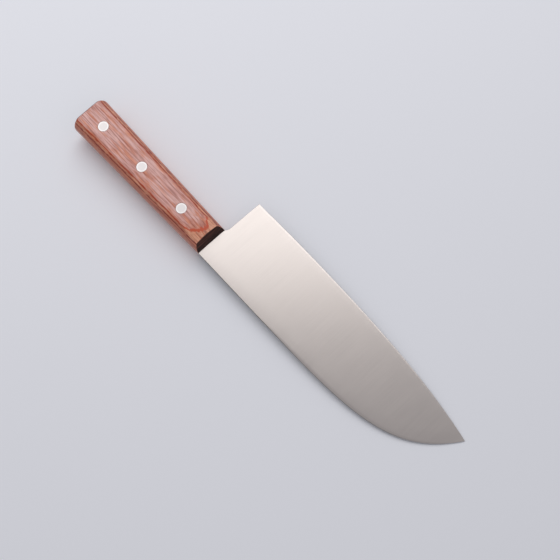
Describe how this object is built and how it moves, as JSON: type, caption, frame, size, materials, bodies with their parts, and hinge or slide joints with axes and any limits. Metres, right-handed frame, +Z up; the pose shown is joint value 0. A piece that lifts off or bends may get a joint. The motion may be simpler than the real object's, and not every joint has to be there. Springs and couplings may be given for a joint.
{
  "type": "kitchen knife",
  "caption": "Wide kitchen and butcher's knife with a square heel, a low tip and a straight riveted laminated-wood handle.",
  "frame": {"origin": "on the handle's flat underside, on the line of the rivets, midway between the front rivet and the middle rivet", "axes": "+X from the handle to the blade's tip, +Y from the spine to the cutting edge, +Z up, square to the side of the knife that lies on the table"},
  "size_m": [0.3191, 0.0532, 0.018],
  "materials": {
    "blade_steel": "fine satin, brushed from spine to edge",
    "laminated_wood": "resin-filled laminated wood, sanded and polished to a low sheen",
    "rivet_metal": "ground flush and polished"
  },
  "bodies": {
    "root": {"blade": "blade_steel", "handle_scale_upper": "laminated_wood", "handle_scale_lower": "laminated_wood", "rivet_front_tube": "rivet_metal", "rivet_front_shank": "rivet_metal", "rivet_middle_tube": "rivet_metal", "rivet_middle_shank": "rivet_metal", "rivet_butt_tube": "rivet_metal", "rivet_butt_shank": "rivet_metal"}
  },
  "joints": []
}
